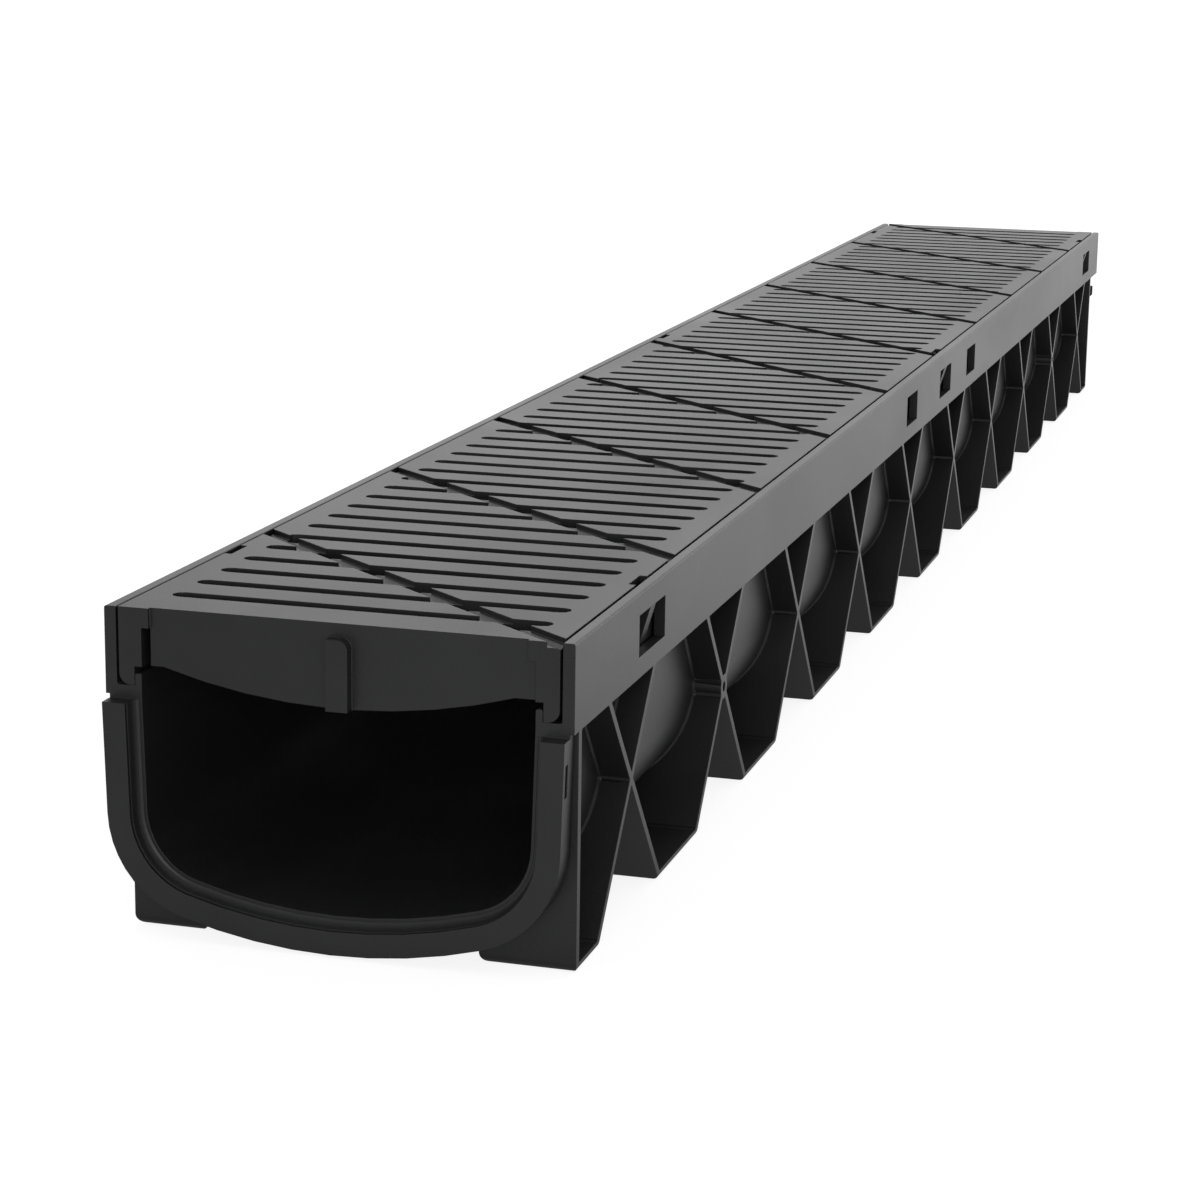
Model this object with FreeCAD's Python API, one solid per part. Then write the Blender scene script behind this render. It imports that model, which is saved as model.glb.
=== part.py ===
"""One metre of moulded plastic drainage channel with its slotted grate.

Frame: X runs across the channel, +Y along the run from the collar to the spigot, Z up.
The feet stand on Z = 0.  All lengths are millimetres.  The pieces are built with Y = 0 at
the near end of the rails, and are moved at the end so that the origin is the centre of the
whole part's footprint.

channel_body   one moulding: U trough, seat rails, collar, spigot, lattice ribs and feet
grate          one moulding: slotted plate on two legs that stand in the rails
"""
import FreeCAD, Part
import math
import os
from FreeCAD import Vector

os.makedirs("parts", exist_ok=True)

# --- whole part -----------------------------------------------------------------------
length = 1000.0             # rails and grate: the laying length of one channel
width = 120.0               # across the outside of the two rails
height = 82.5               # ground to the top of the rails

# --- trough ---------------------------------------------------------------------------
seat_width = 9.6            # top of a side wall's inner face to the outside of its rail
trough_wall = 2.0
wall_draft = 0.8            # a side wall leans in by this much down to its bend
bed_height = 9.4            # ground to the trough's inner floor, on the centre line
bed_radius = 130.0          # shallow curve of the floor
bend_radius = 18.0          # bend from the floor up into the side wall

# --- seat rails -----------------------------------------------------------------------
rail_depth = 22.1           # height of the outer skirt
skirt_wall = 3.0
seat_floor = 2.5            # thickness of the ledge that carries the grate
lip_height = 3.1            # inner lip above that ledge
lip_thickness = 1.7
edge_round = 0.6            # rounding of the rails' upper edges

# --- collar and spigot ----------------------------------------------------------------
collar_reach = 4.6          # how far the collar stands out in front of the rails
collar_thickness = 7.6      # along the run
collar_wall = 6.0           # across the ring
collar_drop = 1.0           # from the rail down to the collar's top edge
socket_depth = 4.5
socket_clearance = 0.6      # between a spigot and the socket round it
spigot_length = 25.7        # from the last transverse plate to the end of the rails
spigot_gap = 0.5            # between a spigot's end and the shoulder that it faces
snap_width = 2.0            # slot through the collar's side, measured along the run
snap_height = 8.2
snap_drop = 10.9            # underside of the rail to the middle of that slot
snap_setback = 1.6          # collar's front edge to the slot
snap_play = 0.2             # between a lug and the slot that it enters
lug_bevel = 3.0             # bevel under the lug's tip

# --- lattice ribs and feet ------------------------------------------------------------
rib_thickness = 2.0
cross_count = 10            # crossed pairs of ribs on each side
cross_level = 35.7          # ground to the crossings
rib_spread = 29.9           # crossing to the foot of its ribs, along the run
end_plate_inset = 3.7       # near end of the rails to the first transverse plate
end_plate_thickness = 2.4
end_plate_round = 2.6       # lower outside edge of a transverse plate
end_foot_length = 17.6      # outside of that plate to the nearest rib's foot
foot_width = 24.6
foot_thickness = 2.0
foot_round = 3.0            # lower inside edge of the feet
trim_depth = 4.8            # the first foot on the left is narrower by this much
trim_height = 20.0
boss_diameter = 7.0
boss_hole = 3.0
boss_hole_depth = 6.0
boss_from_end = 2           # the second crossing from each end carries a boss

# --- windows through the skirts -------------------------------------------------------
first_latch = 68.9          # near end of the rails to the middle of the first window
last_latch = 51.0           # far end of the rails to the middle of the last window
latch_window_length = 25.0
plain_window_before = 72.5  # plain window ahead of the middle latch
plain_window_after = 61.5   # plain window beyond it
plain_window_length = 21.0
window_height = 11.0
window_drop = 5.75          # top of the rail to the top of a window

# --- grate ----------------------------------------------------------------------------
plate_thickness = 5.0
side_play = 0.7             # between the grate and each skirt
leg_thickness = 6.0
toe_play = 0.2              # between the toe and the lip
shelf_play = 1.7            # between the lip and the leg's shoulder over it
toe_round = 3.1
slot_width = 5.0
slot_margin = 6.9           # outside of the grate to the end of a slot
slot_end_flats = 4          # flats round each end of a slot
slot_inset = 17.0           # end of the grate to the middle of the first slot
slot_intervals = 64
groove_count = 10
groove_inset = 48.3         # end of the grate to the middle of the first groove
groove_angle = 40.1         # degrees between a groove and the slots
groove_width = 5.4
groove_depth = 1.8
groove_flats = 5            # flats round the bottom of a groove
end_setback = 1.2           # the plate's edge and the end web lie this far behind its end blocks
end_block = 7.9             # width of an end block
web_thickness = 3.0
web_centre_drop = 16.2      # depth of a web below the plate, on the centre line
web_side_drop = 9.6         # the same beside the legs
web_flat = 5.3              # level stretch of a web's lower edge beside the legs
stiffener_thickness = 2.5
stiffener_every = 4         # a web under every fourth bar between the slots
tab_width = 5.6
tab_offset = 1.1            # the tab stands this far to the right of the centre line
tab_reach = 3.2             # how far the centre tab stands out in front of the end web
tab_rise = 1.5              # the tab runs this far up over the plate's edge
tab_round = 2.6
nib_length = 5.0
nib_offset = 2.0            # from the middle of a latch window to the middle of its nib
nib_play = 0.4              # between a nib and the edges of its window
notch_length = 11.0         # the plate is notched above each nib
notch_depth = 2.0

# --- derived places -------------------------------------------------------------------
half_width = width / 2
half_trough = half_width - seat_width
rail_bottom = height - rail_depth
seat = rail_bottom + seat_floor
lip_top = seat + lip_height
lip_outside = half_trough + lip_thickness
skirt_inside = half_width - skirt_wall
window_top = height - window_drop
window_bottom = window_top - window_height
shoulder = socket_depth - collar_reach
spigot_end = length + shoulder - spigot_gap
socket_offset = trough_wall + socket_clearance
collar_offset = socket_offset + collar_wall
snap_start = snap_setback - collar_reach
snap_level = rail_bottom - snap_drop
far_plate = length - spigot_length
foot_inside = half_width - foot_width
first_crossing = end_plate_inset + end_foot_length + rib_spread
last_crossing = far_plate - end_foot_length - rib_spread
cross_pitch = (last_crossing - first_crossing) / (cross_count - 1)
latch_pitch = (length - first_latch - last_latch) / 2
latch_places = [first_latch + step * latch_pitch for step in range(3)]
plain_places = [latch_places[1] - plain_window_before, latch_places[1] + plain_window_after]
grate_half = skirt_inside - side_play
plate_bottom = height - plate_thickness
leg_inside = grate_half - leg_thickness
toe_width = grate_half - lip_outside - toe_play
slot_half = grate_half - slot_margin
slot_pitch = (length - 2 * slot_inset) / slot_intervals
groove_pitch = length / groove_count
overlap = 1.0               # how far pieces of one moulding run into each other
reach = 2 * width           # long enough for a cutting tool to pass right through


# --- outlines -------------------------------------------------------------------------
def corner_arc(corners, index):
    """Start, middle and end of the arc at one (x, z, radius) corner of a closed outline."""
    x, z, radius = corners[index]
    before = corners[index - 1]
    after = corners[(index + 1) % len(corners)]
    point = Vector(x, 0, z)
    if radius == 0:
        return point, None, point
    to_before = (Vector(before[0], 0, before[1]) - point).normalize()
    to_after = (Vector(after[0], 0, after[1]) - point).normalize()
    half_angle = to_before.getAngle(to_after) / 2
    run = radius / math.tan(half_angle)
    inwards = (to_before + to_after).normalize()
    middle = point + inwards * (radius / math.sin(half_angle) - radius)
    return point + to_before * run, middle, point + to_after * run


def rounded_outline(corners):
    """Closed wire in the XZ plane through (x, z, radius) corners, each one rounded."""
    arcs = [corner_arc(corners, index) for index in range(len(corners))]
    edges = []
    for index, (start, middle, end) in enumerate(arcs):
        if middle is not None:
            edges.append(Part.Arc(start, middle, end).toShape())
        following = arcs[(index + 1) % len(arcs)][0]
        if end.distanceToPoint(following) > 1e-6:
            edges.append(Part.makeLine(end, following))
    return Part.Wire(edges)


def bend_centre():
    """Centre of the right-hand bend, which touches the bed's arc from inside."""
    x = half_trough - wall_draft - bend_radius
    z = bed_height + bed_radius - math.sqrt((bed_radius - bend_radius) ** 2 - x ** 2)
    return Vector(x, 0, z)


def wall_tilt():
    """Angle of a side wall, which runs from under the rail down to its bend."""
    to_top = Vector(half_trough, 0, rail_bottom) - bend_centre()
    return math.acos(bend_radius / to_top.Length) - math.atan2(to_top.z, to_top.x)


def trough_outline(offset, top):
    """Closed U outline at a distance outside the trough's inner face, level at its top."""
    centre = bend_centre()
    bed_centre = Vector(0, 0, bed_height + bed_radius)
    lean = wall_tilt()
    tilt = math.atan2(centre.x, bed_centre.z - centre.z)

    def round_point(middle, radius, angle):
        return middle + Vector(math.cos(angle), 0, -math.sin(angle)) * radius

    def left(point):
        return Vector(-point.x, 0, point.z)

    bend = bend_radius + offset
    wall_foot = round_point(centre, bend, lean)
    wall_top = wall_foot + Vector(math.tan(lean), 0, 1) * (top - wall_foot.z)
    knee = round_point(centre, bend, (lean + math.pi / 2 - tilt) / 2)
    join = round_point(centre, bend, math.pi / 2 - tilt)
    lowest = round_point(bed_centre, bed_radius + offset, math.pi / 2)
    return Part.Wire([
        Part.makeLine(left(wall_top), left(wall_foot)),
        Part.Arc(left(wall_foot), left(knee), left(join)).toShape(),
        Part.Arc(left(join), lowest, join).toShape(),
        Part.Arc(join, knee, wall_foot).toShape(),
        Part.makeLine(wall_foot, wall_top),
        Part.makeLine(wall_top, left(wall_top)),
    ])


def along_run(outline, start, end):
    """Solid from an XZ outline that runs along Y from start to end."""
    face = Part.Face(outline)
    face.translate(Vector(0, start, 0))
    return face.extrude(Vector(0, end - start, 0))


def across(corners, start, end):
    """Solid from rounded (y, z, radius) corners that runs along X from start to end."""
    face = Part.Face(rounded_outline(corners))
    face.rotate(Vector(0, 0, 0), Vector(0, 0, 1), 90)
    face.translate(Vector(start, 0, 0))
    return face.extrude(Vector(end - start, 0, 0))


def block(low, high):
    """Box between two opposite corners."""
    sizes = [b - a for a, b in zip(low, high)]
    return Part.makeBox(*sizes, Vector(*low))


def mirrored(shape):
    """The same shape on the other side of the channel."""
    return shape.mirror(Vector(0, 0, 0), Vector(1, 0, 0))


def both_sides(shape):
    return [shape, mirrored(shape)]


def fused(shapes):
    """One solid from shapes that run into each other."""
    whole = shapes[0].multiFuse(shapes[1:]).removeSplitter()
    return whole.Solids[0] if len(whole.Solids) == 1 else whole


# --- channel body ---------------------------------------------------------------------
def trough():
    outer = along_run(trough_outline(trough_wall, rail_bottom), 0, spigot_end)
    return outer.cut(trough_space())


def trough_space():
    """The clear inside of the trough, from end to end."""
    return along_run(trough_outline(0, rail_bottom + overlap), -reach, length + reach)


def rail():
    """Right rail: ledge, inner lip and outer skirt in one profile."""
    return along_run(rounded_outline([
        (half_trough, rail_bottom, 0),
        (half_width, rail_bottom, 0),
        (half_width, height, edge_round),
        (skirt_inside, height, edge_round / 2),
        (skirt_inside, seat, edge_round),
        (lip_outside, seat, 0),
        (lip_outside, lip_top, edge_round),
        (half_trough, lip_top, edge_round),
    ]), 0, length)


def skirt_windows():
    """Cutting tools for the windows of the right skirt."""
    spans = [(middle, latch_window_length) for middle in latch_places]
    spans += [(middle, plain_window_length) for middle in plain_places]
    return [
        block((skirt_inside - overlap / 4, middle - span / 2, window_bottom),
              (half_width + overlap, middle + span / 2, window_top))
        for middle, span in spans
    ]


def collar():
    """Ring round the near end, with the socket for the next channel's spigot."""
    front = along_run(trough_outline(collar_offset, rail_bottom - collar_drop),
                      -collar_reach, 0)
    back = along_run(trough_outline(collar_offset, rail_bottom + overlap),
                     0, collar_thickness - collar_reach)
    socket = along_run(trough_outline(socket_offset, height), -reach, shoulder)
    snap_slot = block(
        (half_trough, snap_start, snap_level - snap_height / 2),
        (half_width, snap_start + snap_width, snap_level + snap_height / 2))
    inside = along_run(trough_outline(0, height), -reach, reach)
    return front.fuse(back).cut([socket, inside] + both_sides(snap_slot))


def spigot_lug():
    """Right lug of the spigot, which enters the next collar's slot."""
    low = snap_level - snap_height / 2 + snap_play
    high = snap_level + snap_height / 2 - snap_play
    tip = half_trough + collar_offset - socket_clearance
    return along_run(rounded_outline([
        (lip_outside - overlap, low, 0),
        (tip - lug_bevel, low, 0),
        (tip, low + lug_bevel, 0),
        (tip, high, 0),
        (lip_outside - overlap, high, 0),
    ]), length + snap_start + snap_play, length + snap_start + snap_width - snap_play)


def rib(foot, crossing):
    """One straight rib from its foot, through the crossing, up into the rail."""
    lean = (crossing - foot) / cross_level
    half = rib_thickness / 2 * math.hypot(1, lean)
    top = rail_bottom + overlap
    head = foot + lean * top
    return across([
        (foot - half, 0, 0),
        (foot + half, 0, 0),
        (head + half, top, 0),
        (head - half, top, 0),
    ], foot_inside, half_width)


def foot_plate(start, end):
    half = rib_thickness / 2 * math.hypot(1, rib_spread / cross_level)
    return block((foot_inside, start - half, 0), (half_width, end + half, foot_thickness))


def lattice_side():
    """Right-hand ribs, feet and transverse plates, cut to the outside of the trough."""
    top = rail_bottom + overlap
    plate_back = end_plate_inset + end_plate_thickness
    far_front = far_plate - end_plate_thickness
    pieces = [
        block((foot_inside, end_plate_inset, 0), (half_width, plate_back, top)),
        block((foot_inside, far_front, 0), (half_width, far_plate, top)),
    ]
    foot_start = plate_back
    for step in range(cross_count):
        crossing = first_crossing + step * cross_pitch
        pieces += [rib(crossing - rib_spread, crossing), rib(crossing + rib_spread, crossing)]
        pieces.append(foot_plate(foot_start, crossing - rib_spread))
        foot_start = crossing + rib_spread
    pieces.append(foot_plate(foot_start, far_front))
    pieces += [boss(step) for step in boss_steps()]
    section = along_run(rounded_outline([
        (foot_inside, 0, foot_round),
        (half_width, 0, 0),
        (half_width, top, 0),
        (foot_inside, top, 0),
    ]), 0, length)
    side_view = across([
        (end_plate_inset, 0, end_plate_round),
        (far_plate, 0, end_plate_round),
        (far_plate, top, 0),
        (end_plate_inset, top, 0),
    ], foot_inside, half_width)
    inside = along_run(trough_outline(trough_wall / 2, height), -reach, length + reach)
    holes = [boss_bore(step) for step in boss_steps()]
    return fused(pieces).common(section).common(side_view).cut([inside] + holes)


def boss_steps():
    return boss_from_end - 1, cross_count - boss_from_end


def boss(step):
    """Round boss on a crossing, with its axis across the channel."""
    place = Vector(foot_inside, first_crossing + step * cross_pitch, cross_level)
    return Part.makeCylinder(boss_diameter / 2, half_width - foot_inside, place, Vector(1, 0, 0))


def boss_bore(step):
    place = Vector(half_width - boss_hole_depth, first_crossing + step * cross_pitch, cross_level)
    return Part.makeCylinder(boss_hole / 2, reach, place, Vector(1, 0, 0))


def left_foot_trim():
    """Cutting tool that narrows the first foot on the left."""
    side = half_width - trim_depth
    first_foot = first_crossing - rib_spread
    half = rib_thickness / 2 * math.hypot(1, rib_spread / cross_level)
    tool = along_run(rounded_outline([
        (half_width + overlap, -overlap, 0),
        (half_width + overlap, trim_height, 0),
        (side, trim_height, 0),
        (side, 0, foot_round),
        (foot_inside, 0, 0),
        (foot_inside, -overlap, 0),
    ]), 0, first_foot - half)
    return mirrored(tool)


def channel_body():
    pieces = [trough(), collar()]
    for side_piece in (rail().cut(skirt_windows()), lattice_side(), spigot_lug()):
        pieces += both_sides(side_piece)
    return fused(pieces).cut(left_foot_trim())


# --- grate ----------------------------------------------------------------------------
def plate():
    """Flat top with its two set-back end edges."""
    top = block((-grate_half, 0, plate_bottom), (grate_half, length, height))
    middle = grate_half - end_block
    ends = [
        block((-middle, -overlap, plate_bottom - overlap), (middle, end_setback, reach)),
        block((-middle, length - end_setback, plate_bottom - overlap),
              (middle, length + overlap, reach)),
    ]
    return top.cut(ends)


def slot(place):
    """Cutting tool for one round-ended slot across the plate."""
    radius = slot_width / 2
    low = plate_bottom - overlap
    right_end = []
    for step in range(slot_end_flats + 1):
        turn = math.pi * (step / slot_end_flats - 0.5)
        right_end.append(Vector(slot_half - radius + radius * math.cos(turn),
                                place + radius * math.sin(turn), low))
    left_end = [Vector(-point.x, 2 * place - point.y, low) for point in right_end]
    wire = Part.makePolygon(right_end + left_end + right_end[:1])
    return Part.Face(wire).extrude(Vector(0, 0, plate_thickness + 2 * overlap))


def groove(step):
    """Cutting tool for one round-bottomed diagonal groove in the top of the plate."""
    angle = math.radians(groove_angle)
    along = Vector(math.cos(angle), -math.sin(angle), 0)
    sideways = Vector(math.sin(angle), math.cos(angle), 0)
    half_run = grate_half / math.cos(angle) + groove_width
    radius = groove_width ** 2 / (8 * groove_depth) + groove_depth / 2
    half_turn = 2 * math.atan(2 * groove_depth / groove_width)
    start = Vector(0, groove_inset + step * groove_pitch, height) - along * half_run
    section = []
    for flat in range(groove_flats + 1):
        turn = half_turn * (2 * flat / groove_flats - 1)
        depth = groove_depth - radius + radius * math.cos(turn)
        section.append(start + sideways * (radius * math.sin(turn)) - Vector(0, 0, depth))
    lift = Vector(0, 0, overlap)
    section += [section[-1] + lift, section[0] + lift]
    return Part.Face(Part.makePolygon(section + section[:1])).extrude(along * (2 * half_run))


def leg():
    """Right leg: a thick upper part and a toe that stands between the lip and the skirt."""
    shelf = lip_top + shelf_play
    toe_inside = grate_half - toe_width
    return along_run(rounded_outline([
        (leg_inside, plate_bottom + overlap, 0),
        (leg_inside, shelf, 0),
        (toe_inside, shelf, 0),
        (toe_inside, seat, 0),
        (grate_half, seat, min(toe_round, 0.95 * toe_width)),
        (grate_half, plate_bottom + overlap, 0),
    ]), 0, length)


def web(thickness, place, left_side, right_side):
    """Web under the plate, deepest in the middle, with a curved lower edge."""
    flat = leg_inside - web_flat
    side_level = plate_bottom - web_side_drop
    top = plate_bottom + overlap
    centre = Vector(0, 0, plate_bottom - web_centre_drop)
    left_flat = Vector(-flat, 0, side_level)
    right_flat = Vector(flat, 0, side_level)
    left_foot = Vector(-left_side, 0, side_level)
    right_foot = Vector(right_side, 0, side_level)
    left_top = Vector(-left_side, 0, top)
    right_top = Vector(right_side, 0, top)
    outline = Part.Wire([
        Part.makeLine(left_top, left_foot),
        Part.makeLine(left_foot, left_flat),
        Part.Arc(left_flat, centre, right_flat).toShape(),
        Part.makeLine(right_flat, right_foot),
        Part.makeLine(right_foot, right_top),
        Part.makeLine(right_top, left_top),
    ])
    return along_run(outline, place, place + thickness)


def webs():
    """End webs, each open at one leg, and the stiffening webs between them."""
    joined = leg_inside + overlap
    open_side = grate_half - end_block
    pieces = [
        web(web_thickness, end_setback, open_side, joined),
        web(web_thickness, length - end_setback - web_thickness, joined, open_side),
    ]
    for bar in range(stiffener_every // 2, slot_intervals, stiffener_every):
        middle = slot_inset + (bar + 0.5) * slot_pitch
        pieces.append(web(stiffener_thickness, middle - stiffener_thickness / 2, joined, joined))
    return pieces


def centre_tab():
    """Upright tab in front of the near end web."""
    low = plate_bottom - web_centre_drop
    return along_run(rounded_outline([
        (tab_offset - tab_width / 2, low, 0),
        (tab_offset + tab_width / 2, low, 0),
        (tab_offset + tab_width / 2, plate_bottom + tab_rise, tab_round),
        (tab_offset - tab_width / 2, plate_bottom + tab_rise, 0),
    ]), end_setback - tab_reach, end_setback + overlap)


def nib(middle):
    """Right latch nib: a wedge on the leg that catches under the top of its window."""
    low = window_bottom + nib_play
    high = window_top - nib_play
    return along_run(rounded_outline([
        (grate_half - overlap, low, 0),
        (skirt_inside - nib_play, low, 0),
        (half_width - nib_play, high, 0),
        (grate_half - overlap, high, 0),
    ]), middle - nib_length / 2, middle + nib_length / 2)


def edge_notch(middle):
    """Cutting tool for the notch in the plate's right edge above a nib."""
    return block((grate_half - notch_depth, middle - notch_length / 2, window_top - nib_play),
                 (grate_half + overlap, middle + notch_length / 2, height + overlap))


def grate():
    slots = [slot(slot_inset + step * slot_pitch) for step in range(slot_intervals + 1)]
    grooves = [groove(step) for step in range(groove_count)]
    top = plate().cut(slots)
    nib_places = [middle + nib_offset for middle in latch_places]
    pieces = [top, centre_tab()] + webs() + both_sides(leg())
    notches = []
    for middle in nib_places:
        pieces += both_sides(nib(middle))
        notches += both_sides(edge_notch(middle))
    return fused(pieces).cut(grooves + notches)


# --- export ---------------------------------------------------------------------------
def export(name, shape):
    """Move a finished piece into the part's frame and write it."""
    solid = shape.Solids[0]
    if len(shape.Solids) != 1 or not solid.isValid():
        raise ValueError(f"{name} is not one sound solid")
    solid.translate(Vector(0, (collar_reach - length) / 2, 0))
    solid.exportStep(f"parts/{name}.step")
    box = solid.optimalBoundingBox()
    print(f"{name}: {box.XLength:.2f} x {box.YLength:.2f} x {box.ZLength:.2f} mm, "
          f"{solid.Volume / 1000:.1f} cm3, {len(solid.Faces)} faces")


export("channel_body", channel_body())
export("grate", grate())
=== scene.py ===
import math
import bmesh
import bpy
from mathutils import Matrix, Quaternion, Vector


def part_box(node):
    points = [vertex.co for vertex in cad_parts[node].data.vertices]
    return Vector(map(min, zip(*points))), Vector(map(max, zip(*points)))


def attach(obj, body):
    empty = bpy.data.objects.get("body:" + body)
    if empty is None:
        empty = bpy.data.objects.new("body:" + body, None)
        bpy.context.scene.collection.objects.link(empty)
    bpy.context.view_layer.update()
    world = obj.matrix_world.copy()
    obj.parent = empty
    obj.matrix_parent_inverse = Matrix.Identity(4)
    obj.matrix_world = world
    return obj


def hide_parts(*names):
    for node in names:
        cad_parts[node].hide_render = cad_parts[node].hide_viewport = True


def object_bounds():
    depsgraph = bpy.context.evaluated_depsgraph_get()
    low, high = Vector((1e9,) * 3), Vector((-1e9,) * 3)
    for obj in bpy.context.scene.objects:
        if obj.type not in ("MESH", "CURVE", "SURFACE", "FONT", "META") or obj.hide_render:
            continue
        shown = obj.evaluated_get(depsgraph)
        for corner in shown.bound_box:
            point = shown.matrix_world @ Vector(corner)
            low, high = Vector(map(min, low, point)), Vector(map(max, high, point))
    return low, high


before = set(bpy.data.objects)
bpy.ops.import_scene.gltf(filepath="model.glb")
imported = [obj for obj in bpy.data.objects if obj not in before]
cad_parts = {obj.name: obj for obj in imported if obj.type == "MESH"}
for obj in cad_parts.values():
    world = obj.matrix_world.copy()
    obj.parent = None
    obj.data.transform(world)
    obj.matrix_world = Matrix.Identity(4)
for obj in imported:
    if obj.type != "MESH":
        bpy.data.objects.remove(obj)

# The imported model's box, before anything is dressed. Lengths here are in metres.
cad_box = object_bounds()
low, high = cad_box
middle = (low + high) / 2
grate_low, grate_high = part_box("grate")

# Mouldings.
weld_gap = 0.00001
crease_angle = math.radians(28)

# Diagonal grooves in the top of the grate, squared out to steep walls.
groove_count = 10
groove_pitch = 0.100
first_groove = 0.0529          # collar face to the middle of the first groove
groove_angle = math.radians(40.1)
groove_width = 0.0055
groove_wall = 0.0014           # height of a groove's steep wall
cutter_run = 0.180
cutter_rise = 0.002            # how far a cutting block stands clear of the part

# Rounding of the rib feet.
foot_round = 0.0016
foot_steps = 5

# Fillets that the mould leaves in the inner corners. The two reaches of each are
# along the wall that crosses the run and along the other wall.
rib_fillet = (0.0010, 0.0010)
socket_fillet = (0.0020, 0.0038)
tab_fillet = (0.0006, 0.0006)
fillet_steps = 4
fillet_sink = 0.00003          # how deep a bead sits in the walls behind it
inner_angle = math.radians(35)
shortest_corner = 0.0004

# Where those corners are.
rib_from = 0.0300              # distance from the middle plane
rail_under = 0.0605
collar_depth = 0.0090
socket_top = 0.0550
socket_depth = 0.0045
end_plate_front = 0.0070

# Finish of the black plastic. Scales are in waves per metre.
plastic_dark = (0.0105, 0.0107, 0.0112)
plastic_light = (0.0175, 0.0178, 0.0185)
plastic_gloss = 0.34
body_rough = 0.39
grate_rough = 0.41
rough_less = 0.03              # less rough than that in the dark places
rough_more = 0.04              # and rougher in the light ones
corner_radius = 0.0003
corner_rays = 6
grain_scale = 1200.0
grain_noise = (2.0, 0.6)       # detail and roughness of the noise, as in the two below
peel_scale = 90.0
peel_noise = (1.0, 0.4)
peel_share = 0.35              # how much of the relief is the broad orange peel
grain_depth = 0.0002
grain_strength = 0.35
cloud_scale = 14.0
cloud_noise = (3.0, 0.55)
cloud_stretch = (1.0, 0.35, 1.0)
cloud_swirl = 0.8
cloud_edge = (0.3, 0.7)

# Floor. Its glow in the gloss of the part is painted light, with a painted shadow right under the
# part.
floor_spread = 30.0
floor_bounce = 0.30
floor_rough = 0.9
floor_glow = 0.86              # how bright the floor shows itself to the eye
floor_painted_sheen_front = 0.40       # and, as painted light, in the gloss of the part before its open end
floor_painted_sheen_back = 0.95        # and beside and behind it, brighter painted light
sheen_lead = 0.25              # the front level reaches to this far before the open end
floor_painted_shade = 0.45             # share of that brightness left right under the part, a painted shadow
shade_lead = 0.03              # the painted shadow ends this far before the open end
shade_spread = 2.0             # and this many half widths out from the middle

# Surroundings: white, with a dimmer side that gloss shows before the open end.
background = 1.0
front_sheen = 0.50
sheen_turn = (-0.7, 0.3)       # from where to where it fades, as a direction along the run
ambient = 0.55                 # the even light that they give the part

# Softboxes: where each one stands, its width and height, and its power in watts.
back_lamp = (Vector((-0.2, 2.3, 0.95)), (2.2, 1.2), 4.5)
side_lamp = (Vector((1.5, 2.3, 0.35)), (1.4, 0.6), 5)
front_lamp = (Vector((0.7, -2.6, 0.45)), (1.8, 0.8), 18)

# Camera: stands in front of the open end, right of the run and above it.
camera_place = Vector((0.25067, -1.14193, 0.24776))
camera_sight = Vector((-0.26888, 0.936696, -0.224285))
camera_roll = math.radians(-0.809)
camera_lens = 89.147
camera_sensor = 36.0


def feed(tree, socket, value):
    """Gives a socket a plain value, or joins it to the output of another node."""
    if isinstance(value, bpy.types.NodeSocket):
        tree.links.new(value, socket)
    else:
        socket.default_value = value


def noise(tree, place, scale, detail, rough):
    """Noise over the piece."""
    node = tree.nodes.new("ShaderNodeTexNoise")
    node.inputs["Detail"].default_value = detail
    node.inputs["Roughness"].default_value = rough
    tree.links.new(place, node.inputs["Vector"])
    tree.links.new(scale, node.inputs["Scale"])
    return node


def ramp(tree, value, low_at, high_at, low_level=0.0, high_level=1.0):
    """Goes from one level to another while the value goes from low_at to high_at."""
    node = tree.nodes.new("ShaderNodeMapRange")
    node.inputs["From Min"].default_value = low_at
    node.inputs["From Max"].default_value = high_at
    node.inputs["To Min"].default_value = low_level
    node.inputs["To Max"].default_value = high_level
    tree.links.new(value, node.inputs["Value"])
    return node.outputs["Result"]


def blend(tree, share, first, second, kind="FLOAT"):
    """Goes from the first value to the second while the share goes from 0 to 1."""
    node = tree.nodes.new("ShaderNodeMix")
    node.data_type = kind
    feed(tree, node.inputs["Factor"], share)
    feed(tree, node.inputs["A"], first)
    feed(tree, node.inputs["B"], second)
    return node.outputs["Result"]


def reckon(tree, operation, *values):
    """One step of arithmetic on one or two values."""
    node = tree.nodes.new("ShaderNodeMath")
    node.operation = operation
    for socket, value in zip(node.inputs, values):
        tree.links.new(value, socket)
    return node.outputs["Value"]


def new_group(name, inputs, outputs):
    """A shader node group with its sockets and its two end nodes."""
    group = bpy.data.node_groups.new(name, "ShaderNodeTree")
    for label, kind in inputs:
        group.interface.new_socket(label, in_out="INPUT", socket_type=kind)
    for label, kind in outputs:
        group.interface.new_socket(label, in_out="OUTPUT", socket_type=kind)
    start = group.nodes.new("NodeGroupInput")
    end = group.nodes.new("NodeGroupOutput")
    return group, start, end


def grain_group():
    """Fine spark-eroded grain of the mould, as a height from 0 to 1."""
    group, start, end = new_group(
        "mould_grain",
        [("Place", "NodeSocketVector"), ("Grain Scale", "NodeSocketFloat"),
         ("Orange Peel Scale", "NodeSocketFloat")],
        [("Height", "NodeSocketFloat")])
    place = start.outputs["Place"]
    fine = noise(group, place, start.outputs["Grain Scale"], *grain_noise)
    broad = noise(group, place, start.outputs["Orange Peel Scale"], *peel_noise)
    both = blend(group, peel_share, fine.outputs["Fac"], broad.outputs["Fac"])
    group.links.new(both, end.inputs["Height"])
    return group


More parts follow.
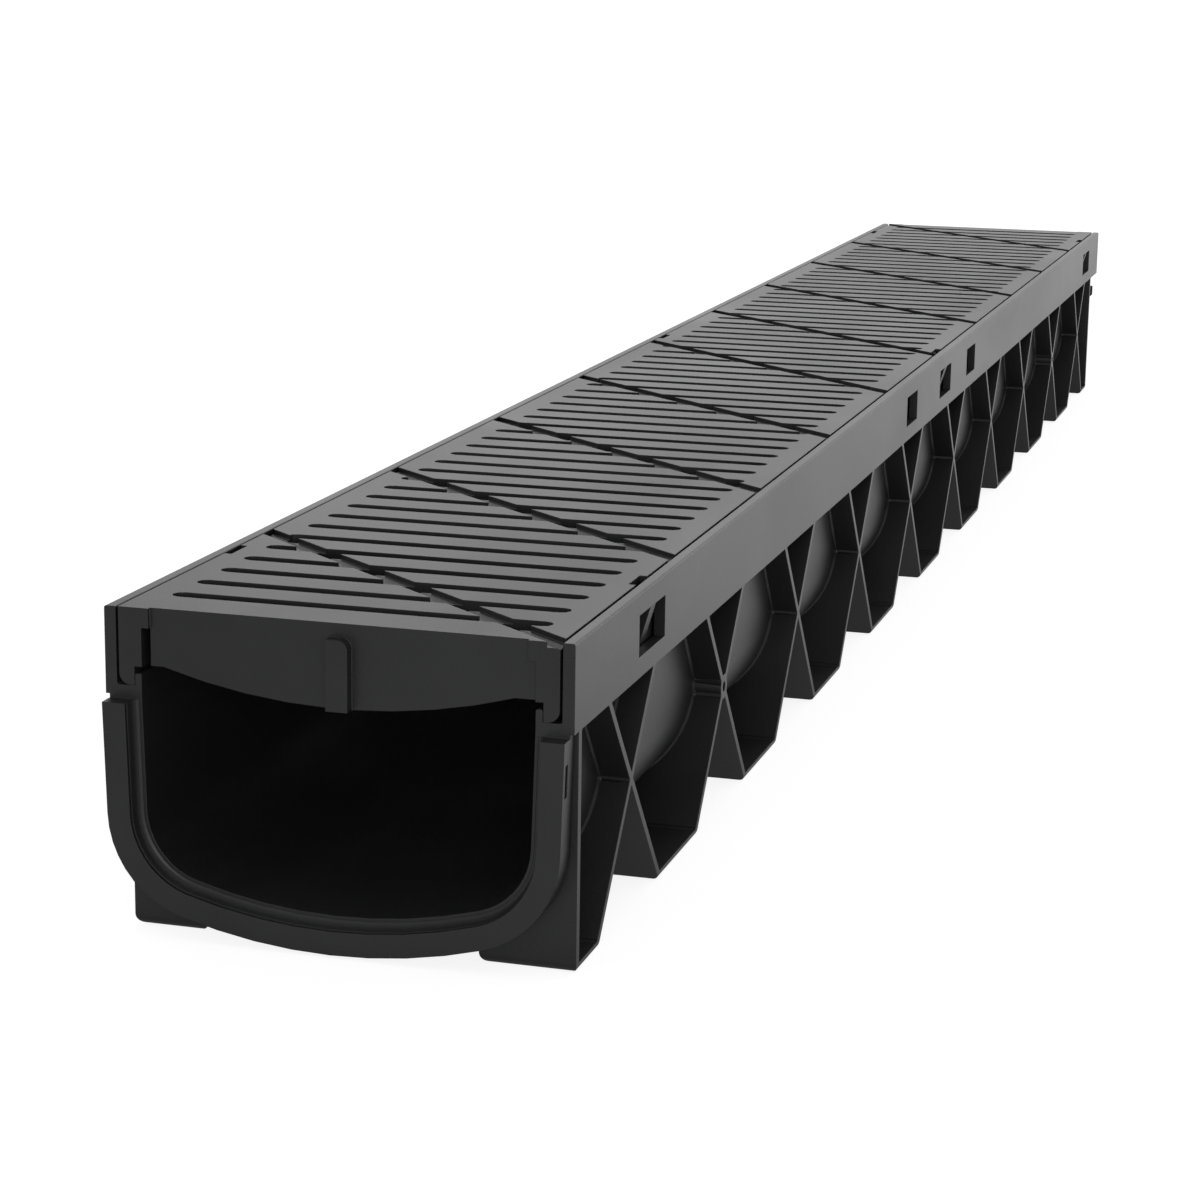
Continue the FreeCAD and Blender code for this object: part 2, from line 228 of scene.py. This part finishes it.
def flow_group():
    """Faint cloudy bands that the melt leaves along the run, as a mask from 0 to 1."""
    group, start, end = new_group(
        "melt_flow",
        [("Place", "NodeSocketVector"), ("Cloud Scale", "NodeSocketFloat")],
        [("Cloud", "NodeSocketFloat")])
    stretch = group.nodes.new("ShaderNodeMapping")
    stretch.inputs["Scale"].default_value = cloud_stretch
    group.links.new(start.outputs["Place"], stretch.inputs["Vector"])
    cloud = noise(group, stretch.outputs["Vector"], start.outputs["Cloud Scale"], *cloud_noise)
    cloud.inputs["Distortion"].default_value = cloud_swirl
    group.links.new(ramp(group, cloud.outputs["Fac"], *cloud_edge), end.inputs["Cloud"])
    return group


def corner_group():
    """Soft light on every corner, as if it were rounded by the mould."""
    group, start, end = new_group(
        "eased_corners", [("Radius", "NodeSocketFloat")], [("Normal", "NodeSocketVector")])
    corner = group.nodes.new("ShaderNodeBevel")
    corner.samples = corner_rays
    group.links.new(start.outputs["Radius"], corner.inputs["Radius"])
    group.links.new(corner.outputs["Normal"], end.inputs["Normal"])
    return group


def placed(tree, group, values, output):
    """Places a group in a material with the material's own values, and gives one output."""
    node = tree.nodes.new("ShaderNodeGroup")
    node.node_tree = group
    for label, value in values.items():
        feed(tree, node.inputs[label], value)
    return node.outputs[output]


def plastic(name, groups, rough):
    """Satin moulded plastic: cloudy colour, a little change of gloss, and grain."""
    material = bpy.data.materials.new(name)
    material.use_nodes = True
    tree = material.node_tree
    shader = tree.nodes["Principled BSDF"]
    shader.inputs["Specular IOR Level"].default_value = plastic_gloss
    place = tree.nodes.new("ShaderNodeTexCoord").outputs["Object"]
    cloud = placed(tree, groups["flow"], {"Place": place, "Cloud Scale": cloud_scale}, "Cloud")
    grain_values = {"Place": place, "Grain Scale": grain_scale, "Orange Peel Scale": peel_scale}
    grain = placed(tree, groups["grain"], grain_values, "Height")
    corner = placed(tree, groups["corner"], {"Radius": corner_radius}, "Normal")
    tone = blend(tree, cloud, (*plastic_dark, 1), (*plastic_light, 1), "RGBA")
    tree.links.new(tone, shader.inputs["Base Color"])
    sheen = ramp(tree, cloud, 0.0, 1.0, rough - rough_less, rough + rough_more)
    tree.links.new(sheen, shader.inputs["Roughness"])
    relief = tree.nodes.new("ShaderNodeBump")
    relief.inputs["Strength"].default_value = grain_strength
    relief.inputs["Distance"].default_value = grain_depth
    tree.links.new(grain, relief.inputs["Height"])
    tree.links.new(corner, relief.inputs["Normal"])
    tree.links.new(relief.outputs["Normal"], shader.inputs["Normal"])
    return material


def new_piece(label, mesh):
    """A new object at the origin that holds the mesh."""
    piece = bpy.data.objects.new(label, mesh)
    bpy.context.collection.objects.link(piece)
    return piece


def new_mesh(label, shape):
    """A new mesh that holds the finished shape."""
    mesh = bpy.data.meshes.new(label)
    shape.to_mesh(mesh)
    shape.free()
    return mesh


def bridge(shape, one, other):
    """Walls between two rings of the same number of points."""
    for index in range(len(one)):
        after = (index + 1) % len(one)
        shape.faces.new((one[index], one[after], other[after], other[index]))


def plain(piece):
    """Makes the piece's modifiers into a plain mesh."""
    graph = bpy.context.evaluated_depsgraph_get()
    made = bpy.data.meshes.new_from_object(piece.evaluated_get(graph))
    piece.modifiers.clear()
    piece.data = made


def carve(piece, cutter):
    """Cuts the cutter's shape out of the piece, and drops the cutter."""
    cut = piece.modifiers.new("cut", "BOOLEAN")
    cut.operation = "DIFFERENCE"
    cut.solver = "EXACT"
    cut.object = cutter
    plain(piece)
    bpy.data.objects.remove(cutter)


def moulding(name, label, skin):
    """A merged copy of a packed moulding, in its own plastic."""
    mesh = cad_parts[name].data.copy()
    shape = bmesh.new()
    shape.from_mesh(mesh)
    bmesh.ops.remove_doubles(shape, verts=shape.verts, dist=weld_gap)
    shape.to_mesh(mesh)
    shape.free()
    mesh.name = label
    mesh.materials.clear()
    mesh.materials.append(skin)
    return new_piece(label, mesh)


def crease(piece):
    """Smooth shading round the bends and a crisp line where faces meet at an angle."""
    shape = bmesh.new()
    shape.from_mesh(piece.data)
    for face in shape.faces:
        face.smooth = True
    for edge in shape.edges:
        edge.smooth = len(edge.link_faces) == 2 and edge.calc_face_angle(math.pi) < crease_angle
    shape.to_mesh(piece.data)
    shape.free()


def settle(piece, name):
    """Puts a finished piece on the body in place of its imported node."""
    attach(piece, "root")
    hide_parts(name)


def round_feet(body):
    """Rounds the outer lower corner of every rib foot along both sides."""
    outer = foot_round + cutter_rise
    section = [(0.0, -outer)]
    for step in range(foot_steps + 1):
        turn = math.pi / 2 * step / foot_steps
        section.append((foot_round * math.sin(turn), -foot_round * math.cos(turn)))
    section += [(outer, 0.0), (outer, -outer)]
    shape = bmesh.new()
    for side in (-1, 1):
        ends = []
        for y in (low.y - cutter_rise, high.y + cutter_rise):
            ring = []
            for across, down in section:
                x = side * (high.x - foot_round + across)
                ring.append(shape.verts.new((x, y, low.z + foot_round + down)))
            shape.faces.new(ring)
            ends.append(ring)
        bridge(shape, *ends)
    bmesh.ops.recalc_face_normals(shape, faces=shape.faces)
    carve(body, new_piece("foot rounding", new_mesh("foot rounding", shape)))


def groove_tree():
    """Geometry Nodes: a row of turned blocks, one for each diagonal groove."""
    tree = bpy.data.node_groups.new("groove_row", "GeometryNodeTree")
    sockets = {}
    for label, kind in (("Count", "NodeSocketInt"), ("Start", "NodeSocketVector"),
                        ("Step", "NodeSocketVector"), ("Block", "NodeSocketVector"),
                        ("Turn", "NodeSocketVector"), ("Skin", "NodeSocketMaterial")):
        socket = tree.interface.new_socket(label, in_out="INPUT", socket_type=kind)
        sockets[label] = socket.identifier
    tree.interface.new_socket("Geometry", in_out="OUTPUT", socket_type="NodeSocketGeometry")
    start = tree.nodes.new("NodeGroupInput")
    end = tree.nodes.new("NodeGroupOutput")
    line = tree.nodes.new("GeometryNodeMeshLine")
    block = tree.nodes.new("GeometryNodeMeshCube")
    spread = tree.nodes.new("GeometryNodeInstanceOnPoints")
    real = tree.nodes.new("GeometryNodeRealizeInstances")
    skin = tree.nodes.new("GeometryNodeSetMaterial")
    tree.links.new(start.outputs["Count"], line.inputs["Count"])
    tree.links.new(start.outputs["Start"], line.inputs["Start Location"])
    tree.links.new(start.outputs["Step"], line.inputs["Offset"])
    tree.links.new(start.outputs["Block"], block.inputs["Size"])
    tree.links.new(line.outputs["Mesh"], spread.inputs["Points"])
    tree.links.new(block.outputs["Mesh"], spread.inputs["Instance"])
    tree.links.new(start.outputs["Turn"], spread.inputs["Rotation"])
    tree.links.new(spread.outputs["Instances"], real.inputs["Geometry"])
    tree.links.new(real.outputs["Geometry"], skin.inputs["Geometry"])
    tree.links.new(start.outputs["Skin"], skin.inputs["Material"])
    tree.links.new(skin.outputs["Geometry"], end.inputs["Geometry"])
    return tree, sockets


def square_grooves(grate, skin):
    """Cuts the diagonal grooves out to steep walls."""
    tree, sockets = groove_tree()
    blocks = new_piece("groove blocks", bpy.data.meshes.new("groove blocks"))
    row = blocks.modifiers.new("groove row", "NODES")
    row.node_group = tree
    depth = groove_wall + cutter_rise
    height = grate_high.z + cutter_rise - depth / 2
    row[sockets["Count"]] = groove_count
    row[sockets["Start"]] = (0.0, low.y + first_groove, height)
    row[sockets["Step"]] = (0.0, groove_pitch, 0.0)
    row[sockets["Block"]] = (cutter_run, groove_width, depth)
    row[sockets["Turn"]] = (0.0, 0.0, -groove_angle)
    row[sockets["Skin"]] = skin
    plain(blocks)
    carve(grate, blocks)


def inner_corner(edge):
    """Whether two walls meet at this edge in a hollow corner worth a bead."""
    if len(edge.link_faces) != 2 or edge.is_convex or edge.calc_length() < shortest_corner:
        return False
    return edge.calc_face_angle() > inner_angle


def beside_rib(edge):
    """Corners on the outer side of the trough, between the collar and the far end plate."""
    return all(abs(vert.co.x) > rib_from and vert.co.y > low.y + collar_depth
               and vert.co.z < rail_under for vert in edge.verts)


def round_socket(edge):
    """The corner between the collar's inner wall and the stop for the spigot."""
    if min(vert.co.z for vert in edge.verts) > socket_top:
        return False
    return all(abs(vert.co.y - low.y - socket_depth) < shortest_corner for vert in edge.verts)


def on_end_plate(edge):
    """Corners on the near face of the end plate of the grate."""
    return all(vert.co.y < grate_low.y + end_plate_front for vert in edge.verts)


def in_box(point):
    """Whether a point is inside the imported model's box."""
    return all(low[axis] - weld_gap < point[axis] < high[axis] + weld_gap for axis in range(3))


def crossing_first(face):
    """Sorts the wall that crosses the run before the other wall of a corner."""
    return -abs(round(face.normal.y, 2)), face.normal.z


def into_face(edge, face):
    """The direction that leaves an edge at a right angle, inside one of its faces."""
    along = (edge.verts[1].co - edge.verts[0].co).normalized()
    across = face.normal.cross(along).normalized()
    middle_of_edge = (edge.verts[0].co + edge.verts[1].co) / 2
    if across.dot(face.calc_center_median() - middle_of_edge) < 0:
        across.negate()
    return across


def bead_runs(shape, chosen):
    """The ends of the chosen corners with the directions of their walls, and which ends join.

    Ends at one point share an entry where their crossing walls face the same way."""
    ends = {}
    runs = []
    for edge in shape.edges:
        if not inner_corner(edge) or not chosen(edge):
            continue
        first, second = sorted(edge.link_faces, key=crossing_first)
        plane = tuple(round(value, 1) for value in first.normal)
        keys = [(vert.index, plane) for vert in edge.verts]
        for key, vert in zip(keys, edge.verts):
            entry = ends.setdefault(key, [vert.co.copy(), Vector(), Vector()])
            entry[1] += into_face(edge, first)
            entry[2] += into_face(edge, second)
        runs.append(keys)
    return ends, runs


def bead_ring(corner, first, second, reach):
    """The points round a bead's section: the corner, and a hollow curve from wall to wall."""
    start = corner - (first + second) * fillet_sink
    points = [start]
    for step in range(fillet_steps + 1):
        part = step / fillet_steps
        points.append(start + first * reach[0] * (1 - part) ** 2 + second * reach[1] * part ** 2)
    return points


def fillets(label, source, chosen, reach, skin):
    """A closed hollow bead in each chosen inner corner of a moulding, tangent to both walls."""
    shape = bmesh.new()
    shape.from_mesh(source.data)
    ends, runs = bead_runs(shape, chosen)
    shape.free()
    made = bmesh.new()
    rings = {}
    for key, (corner, first, second) in ends.items():
        points = bead_ring(corner, first.normalized(), second.normalized(), reach)
        if all(in_box(point) for point in points):
            rings[key] = [made.verts.new(point) for point in points]
    drawn = dict.fromkeys(rings, 0)
    for one, other in runs:
        if one in rings and other in rings:
            drawn[one] += 1
            drawn[other] += 1
            bridge(made, rings[one], rings[other])
    for key, ring in rings.items():
        if drawn[key] == 1:
            made.faces.new(ring)
    loose = [vert for vert in made.verts if not vert.link_faces]
    bmesh.ops.delete(made, geom=loose, context="VERTS")
    bmesh.ops.recalc_face_normals(made, faces=made.faces)
    piece = new_piece(label, new_mesh(label, made))
    piece.data.materials.append(skin)
    crease(piece)
    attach(piece, "root")


def seen_rays(tree):
    """1 for rays that show the background: from the camera, in gloss or through glass."""
    path = tree.nodes.new("ShaderNodeLightPath")
    straight = reckon(tree, "MAXIMUM", path.outputs["Is Camera Ray"], path.outputs["Is Glossy Ray"])
    return reckon(tree, "MAXIMUM", straight, path.outputs["Is Transmission Ray"])


def painted_floor_sheen(tree):
    """How bright the floor glows in gloss, as painted light: less before the part, and a painted
    shadow right under it.
    """
    place = tree.nodes.new("ShaderNodeSeparateXYZ")
    tree.links.new(tree.nodes.new("ShaderNodeTexCoord").outputs["Object"], place.inputs["Vector"])
    along = place.outputs["Y"]
    sweep = ramp(tree, along, low.y - sheen_lead, 0.0, floor_painted_sheen_front, floor_painted_sheen_back)
    across = reckon(tree, "ABSOLUTE", place.outputs["X"])
    beside = ramp(tree, across, high.x, high.x * shade_spread)
    before = ramp(tree, along, low.y, low.y - shade_lead)
    clear = reckon(tree, "MAXIMUM", beside, before)
    return reckon(tree, "MULTIPLY", sweep, ramp(tree, clear, 0.0, 1.0, floor_painted_shade, 1.0))


def studio_floor():
    """A wide pale floor that stays white behind the part and keeps its soft shadow."""
    bpy.ops.mesh.primitive_plane_add(size=floor_spread, location=(0, 0, low.z))
    floor = bpy.context.object
    floor.name = "floor"
    material = bpy.data.materials.new("pale_floor")
    material.use_nodes = True
    tree = material.node_tree
    shader = tree.nodes["Principled BSDF"]
    shader.inputs["Base Color"].default_value = (floor_bounce, floor_bounce, floor_bounce, 1)
    shader.inputs["Roughness"].default_value = floor_rough
    path = tree.nodes.new("ShaderNodeLightPath")
    # The eye sees an even glow; gloss sees painted light, graded, with a painted shadow under the
    # part.
    level = blend(tree, path.outputs["Is Camera Ray"], painted_floor_sheen(tree), floor_glow)
    glow = tree.nodes.new("ShaderNodeEmission")
    tree.links.new(level, glow.inputs["Strength"])
    both = tree.nodes.new("ShaderNodeAddShader")
    tree.links.new(shader.outputs["BSDF"], both.inputs[0])
    tree.links.new(glow.outputs["Emission"], both.inputs[1])
    pick = tree.nodes.new("ShaderNodeMixShader")
    tree.links.new(seen_rays(tree), pick.inputs["Fac"])
    tree.links.new(shader.outputs["BSDF"], pick.inputs[1])
    tree.links.new(both.outputs["Shader"], pick.inputs[2])
    tree.links.new(pick.outputs["Shader"], tree.nodes["Material Output"].inputs["Surface"])
    floor.data.materials.append(material)


def studio_world():
    """White all round for the eye, graded in gloss, and a dimmer light on the part."""
    world = bpy.data.worlds.new("white studio")
    bpy.context.scene.world = world
    world.use_nodes = True
    tree = world.node_tree
    sky = tree.nodes["Background"]
    sky.inputs["Color"].default_value = (1, 1, 1, 1)
    way = tree.nodes.new("ShaderNodeSeparateXYZ")
    tree.links.new(tree.nodes.new("ShaderNodeTexCoord").outputs["Generated"], way.inputs["Vector"])
    sheen = ramp(tree, way.outputs["Y"], *sheen_turn, front_sheen, background)
    path = tree.nodes.new("ShaderNodeLightPath")
    shown = blend(tree, path.outputs["Is Camera Ray"], sheen, background)
    tree.links.new(blend(tree, seen_rays(tree), ambient, shown), sky.inputs["Strength"])


def softbox(name, place, size, power):
    """A soft area lamp that looks at the middle of the part."""
    lamp = bpy.data.lights.new(name, "AREA")
    lamp.shape = "RECTANGLE"
    lamp.size = size[0]
    lamp.size_y = size[1]
    lamp.energy = power
    stand = new_piece(name, lamp)
    stand.visible_camera = False
    stand.location = place
    stand.rotation_euler = (middle - place).to_track_quat("-Z", "Y").to_euler()


def stand_camera():
    """The camera, level but for a slight roll."""
    camera = bpy.data.cameras.new("camera")
    camera.sensor_width = camera_sensor
    camera.lens = camera_lens
    camera.clip_end = floor_spread
    stand = new_piece("camera", camera)
    stand.location = camera_place
    level = camera_sight.to_track_quat("-Z", "Y")
    stand.rotation_mode = "QUATERNION"
    stand.rotation_quaternion = Quaternion(camera_sight, camera_roll) @ level
    bpy.context.scene.camera = stand


groups = {"grain": grain_group(), "flow": flow_group(), "corner": corner_group()}
body_plastic = plastic("body_plastic", groups, body_rough)
grate_plastic = plastic("grate_plastic", groups, grate_rough)

body = moulding("channel_body", "drain_channel", body_plastic)
round_feet(body)
crease(body)
settle(body, "channel_body")
fillets("rib_fillets", body, beside_rib, rib_fillet, body_plastic)
fillets("socket_fillet", body, round_socket, socket_fillet, body_plastic)

grate = moulding("grate", "cover_grate", grate_plastic)
square_grooves(grate, grate_plastic)
crease(grate)
settle(grate, "grate")
fillets("end_plate_fillets", grate, on_end_plate, tab_fillet, grate_plastic)

studio_floor()
studio_world()
softbox("back softbox", *back_lamp)
softbox("side softbox", *side_lamp)
softbox("front softbox", *front_lamp)
stand_camera()
bpy.context.scene.view_settings.view_transform = "Standard"
